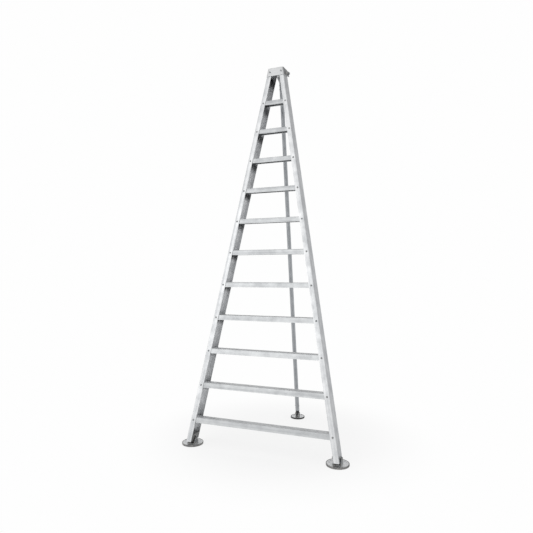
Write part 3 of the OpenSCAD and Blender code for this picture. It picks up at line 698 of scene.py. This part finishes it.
# Width of the broken edge of every node whose name has one of these endings
EDGE_WIDTHS = {
    ("_stile",): 0.4 * MM,
    ("_bolt", "_bolts", "_nut", "_nuts"): 0.5 * MM,
    ("_yoke",): 0.8 * MM,
    ("_plug",): 1.0 * MM,
    ("hinge_washers",): 0.3 * MM,
    ("hinge_bushes",): 0.4 * MM,
    ("leg_tube",): 0.5 * MM,
}


def softened(name, width):
    """A copy of a node with its sharp edges bevelled."""
    piece = merged_copy(name)
    add_modifier(piece, "BEVEL", width=width, segments=2, limit_method="ANGLE",
                 angle_limit=SHARP_FROM, use_clamp_overlap=False, loop_slide=False)
    bpy.ops.object.shade_smooth_by_angle(angle=SMOOTH_TO)
    add_modifier(piece, "WEIGHTED_NORMAL", keep_sharp=True)
    stand_for(piece, name)
    return piece


made = [softened(name, STEP_EDGE) for name in step_names]
for endings, width in EDGE_WIDTHS.items():
    made += [softened(name, width) for name in nodes if name.endswith(endings)]
print("softened pieces:", len(made), "faces:", sum(len(piece.data.polygons) for piece in made))

# %% [markdown]
# ## Castings
# Molten metal cannot fill a sharp corner, and sand cannot hold one, so every edge and inner corner of a
# casting is round. A bevel would break the outer edges only. So the copy is rebuilt as an even skin and
# smoothed, which rounds the edges and fills the corners at once, as a pattern maker's fillets do.

# %% Round the castings
CAST_SKIN = 1.2 * MM
SMOOTHINGS = 12

for name in ("head", "leg_head"):
    casting = merged_copy(name)
    add_modifier(casting, "REMESH", mode="VOXEL", voxel_size=CAST_SKIN, use_smooth_shade=True)
    add_modifier(casting, "SMOOTH", factor=0.5, iterations=SMOOTHINGS)
    stand_for(casting, name)
    print(casting.name, "faces:", len(casting.data.polygons))

# %% [markdown]
# ## Turned shapes
# Rivets, soles and plates are round about one axis. They could be put together from cylinders and rings,
# but each joint would have to be welded. Half of the section, drawn point by point and spun about the axis,
# gives the whole skin at once, as a lathe does.

# %% Turn a section
SAME_TURNED_POINT = 0.002 * MM


def turned(as_name, outline, steps):
    """A piece made by spinning an outline of (radius, height) points about Z."""
    bpy.ops.object.select_all(action="DESELECT")
    bpy.ops.mesh.primitive_plane_add(size=MM, location=(0, 0, 0))
    piece = bpy.context.object
    piece.name = as_name
    open_piece(piece, "VERT")
    bpy.ops.mesh.merge(type="CENTER")
    bpy.ops.transform.translate(value=(outline[0][0], 0, outline[0][1]))
    for start, end in zip(outline, outline[1:]):
        move = (end[0] - start[0], 0, end[1] - start[1])
        bpy.ops.mesh.extrude_vertices_move(TRANSFORM_OT_translate={"value": move})
    bpy.ops.mesh.select_all(action="SELECT")
    bpy.ops.mesh.spin(steps=steps, angle=2 * math.pi, center=(0, 0, 0), axis=(0, 0, 1))
    bpy.ops.mesh.select_all(action="SELECT")
    bpy.ops.mesh.remove_doubles(threshold=SAME_TURNED_POINT)
    bpy.ops.mesh.normals_make_consistent(inside=False)
    close_piece()
    bpy.ops.object.shade_smooth_by_angle(angle=SMOOTH_TO)
    return piece


print("turned points merge within", SAME_TURNED_POINT / MM, "mm")

# %% [markdown]
# ## Rivets
# The rivets have a domed head, with the small pit left where the pulling stem broke off. Those in the steps,
# the stile plugs and the leg have a bulged end, and those in the feet end plain. They could be softened
# copies of the solids too, but a bevel makes no pit. So one of each size is turned and copied to the places
# that the solids give, and every dome sits on the face that it clamps.

# %% A rivet's section
RIVET_STEPS = 24
# Degrees round the dome, from the edge of the pit to the rim
DOME_TURNS = (18, 32, 46, 60, 75, 90)
# The pit in shares of the head, the bulge in shank radii and the rounded end in shares of the bulge
PIT_WIDE, PIT_DEEP = 0.15, 0.45
BULGE_WIDE = 1.45
END_WIDE, END_ROUND = 0.7, 0.3
# Radius and height of the head, radius of the shank and height of the bulge
STEP_RIVET = (7 * MM, 3 * MM, 4 * MM, 2.5 * MM)
CROSS_PIN = (5 * MM, 2 * MM, 3 * MM, 2.5 * MM)
FOOT_RIVET = (5 * MM, 2 * MM, 3 * MM, 0)


def rivet_outline(length, head_r, head_h, shank_r, bulge_h):
    """Half section from the pit to the end, with zero where the dome's crown would be without the pit."""
    turns = [math.radians(degrees) for degrees in DOME_TURNS]
    pit = [(0, PIT_DEEP * head_h), (PIT_WIDE * head_r, PIT_DEEP * head_h)]
    dome = [(head_r * math.sin(turn), head_h * (1 - math.cos(turn))) for turn in turns]
    shank = [(shank_r, head_h)]
    end_r = shank_r
    if bulge_h:
        end_r = BULGE_WIDE * shank_r
        shank += [(shank_r, length - bulge_h), (end_r, length - bulge_h)]
    end = [(end_r, length - END_ROUND * bulge_h), (END_WIDE * end_r, length), (0, length)]
    return pit + dome + shank + end


print("points in a bulged rivet's section:", len(rivet_outline(20 * MM, *STEP_RIVET)))

# %% Where the rivets go
# Points beyond this share of the largest radius are on the rim of the head
HEAD_RIM = 0.97
stile_turn = Euler((-LEAN, 0, 0)).to_matrix()
through_flange = stile_turn @ Vector((0, 1, 0))
across = Vector((1, 0, 0))
across_left = stile_turn @ Euler((0, SPLAY, 0)).to_matrix() @ across
across_right = stile_turn @ Euler((0, -SPLAY, 0)).to_matrix() @ across
down = Vector((0, 0, -1))


def solids_of(name):
    """The corner points of each separate solid of a node."""
    whole = merged_copy(name)
    open_piece(whole)
    bpy.ops.mesh.separate(type="LOOSE")
    close_piece()
    parts = list(bpy.context.selected_objects)
    points = [[vertex.co.copy() for vertex in part.data.vertices] for part in parts]
    for part in parts:
        bpy.data.objects.remove(part)
    return points


def rivet_places(name, left_way, right_way):
    """Crown point, inward direction and length of every rivet, with one direction for each side."""
    places = []
    for points in solids_of(name):
        middle = sum(points, Vector()) / len(points)
        way = right_way if middle.x > 0 else left_way
        along = [(point - middle).dot(way) for point in points]
        apart = [((point - middle) - way * run).length for point, run in zip(points, along)]
        widest = [run for run, out in zip(along, apart) if out > HEAD_RIM * max(apart)]
        inward = way if sum(widest) / len(widest) < (min(along) + max(along)) / 2 else -way
        crown = min(along) if inward == way else max(along)
        places.append((middle + way * crown, inward.copy(), max(along) - min(along)))
    return places


print("step rivets lie along", [round(part, 3) for part in through_flange])

# %% Set the rivets
def copied_to(pattern, places, as_name):
    """Copies of one piece at the places, joined to one new piece."""
    bpy.ops.object.select_all(action="DESELECT")
    for crown, inward, _ in places:
        copy = bpy.data.objects.new(as_name, pattern.data.copy())
        copy.location = crown
        copy.rotation_euler = inward.to_track_quat("Z", "X").to_euler()
        bpy.context.scene.collection.objects.link(copy)
        copy.select_set(True)
    bpy.context.view_layer.objects.active = copy
    bpy.ops.object.transform_apply(location=True, rotation=True, scale=True)
    bpy.ops.object.join()
    copy.name = as_name
    return copy


rivet_sets = {
    "left_step_rivets": (through_flange, through_flange, STEP_RIVET),
    "right_step_rivets": (through_flange, through_flange, STEP_RIVET),
    "stile_plug_rivets": (across_left, across_right, CROSS_PIN),
    "leg_cross_pins": (across, across, CROSS_PIN),
    "left_foot_rivets": (down, down, FOOT_RIVET),
    "right_foot_rivets": (down, down, FOOT_RIVET),
    "rear_foot_rivets": (down, down, FOOT_RIVET),
}
for name, (left_way, right_way, sizes) in rivet_sets.items():
    places = rivet_places(name, left_way, right_way)
    length = sum(place[2] for place in places) / len(places)
    pattern = turned("rivet", rivet_outline(length, *sizes), RIVET_STEPS)
    rivets = copied_to(pattern, places, name + "_piece")
    bpy.data.objects.remove(pattern)
    stand_for(rivets, name)
    print(name, len(places), "rivets, each", round(length / MM, 1), "mm long")

# %% [markdown]
# ## Feet
# Each foot is a dished plate that is seated in a moulded sole, with a rolled rubber lip round its edge and
# grooves below for grip. Both pieces share one curve, so the plate lies in its sole without a gap. The slope
# is drawn as a smooth curve, as a press tool draws it, and the lip is a round bead.

# %% Sections of the feet
SOLE = 6 * MM
PLATE = 3 * MM
LIP = 4 * MM
LIP_UP = 1.5 * MM
DISH_RISE = 3 * MM
DISH_BAND = 18 * MM
DISH_POINTS = 8
# Degrees between the points of the lip's bead
BEAD_TURN = 20
GROOVE = 2 * MM
# Shares of the sole's radius
GROOVE_PLACES = (0.85, 0.65, 0.45)
# Points of a groove as (aside, deep), in groove widths
GROOVE_SECTION = ((1.15, 0), (0.9, 0.25), (0.75, 1), (-0.75, 1), (-0.9, 0.25), (-1.15, 0))
TOE_ROUND = 0.3
# Where the plate's flat band and its edge end, short of the lip, and how far the edge is rounded
BAND_GAP, LIP_GAP = 0.5 * MM, 0.2 * MM
ROUND_BELOW, ROUND_ABOVE = 0.4 * MM, 0.8 * MM


def dish(radius):
    """Half section of a plate's underside: the flat middle and the slope up to the edge band."""
    flat = radius - LIP - DISH_BAND
    shares = [i / DISH_POINTS for i in range(DISH_POINTS + 1)]
    return [(0, SOLE)] + [
        (flat + DISH_BAND / 2 * share, SOLE + DISH_RISE * share ** 2 * (3 - 2 * share)) for share in shares]


def sole_outline(radius):
    """Half section of a sole, from its seat over the lip to its grooved underside."""
    seat_end = SOLE + DISH_RISE
    bead_r = LIP / 2
    bead_middle = seat_end + PLATE + LIP_UP - bead_r
    turns = [math.radians(degrees) for degrees in range(0, 181, BEAD_TURN)]
    bead = [(radius - bead_r - bead_r * math.cos(turn), bead_middle + bead_r * math.sin(turn))
            for turn in turns]
    toe = [(radius, GROOVE), (radius - TOE_ROUND * GROOVE, TOE_ROUND * GROOVE), (radius - GROOVE, 0)]
    grooves = [(radius * share + aside * GROOVE, deep * GROOVE)
               for share in GROOVE_PLACES for aside, deep in GROOVE_SECTION]
    return dish(radius) + [(radius - LIP, seat_end)] + bead + toe + grooves + [(0, 0)]


def plate_outline(radius):
    """Half section of a plate, along its underside and back over its top."""
    seat_end = SOLE + DISH_RISE
    under = dish(radius) + [(radius - LIP - BAND_GAP, seat_end)]
    edge = [(radius - LIP - LIP_GAP, seat_end + ROUND_BELOW),
            (radius - LIP - LIP_GAP, seat_end + PLATE - ROUND_ABOVE)]
    return under + edge + [(run, rise + PLATE) for run, rise in reversed(under)]


print("grooves under a sole:", len(GROOVE_PLACES))

# %% Soles and plates
FOOT_STEPS = 96

for foot in ("left", "right", "rear"):
    low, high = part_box(foot + "_foot_sole")
    middle = (low + high) / 2
    radius = (high.x - low.x) / 2
    for kind, outline in (("sole", sole_outline(radius)), ("plate", plate_outline(radius))):
        name = foot + "_foot_" + kind
        piece = turned(name + "_piece", outline, FOOT_STEPS)
        piece.location = (middle.x, middle.y, 0)
        bpy.ops.object.transform_apply(location=True, rotation=True, scale=True)
        stand_for(piece, name)
    print(foot, "foot radius", round(radius / MM, 1), "mm")
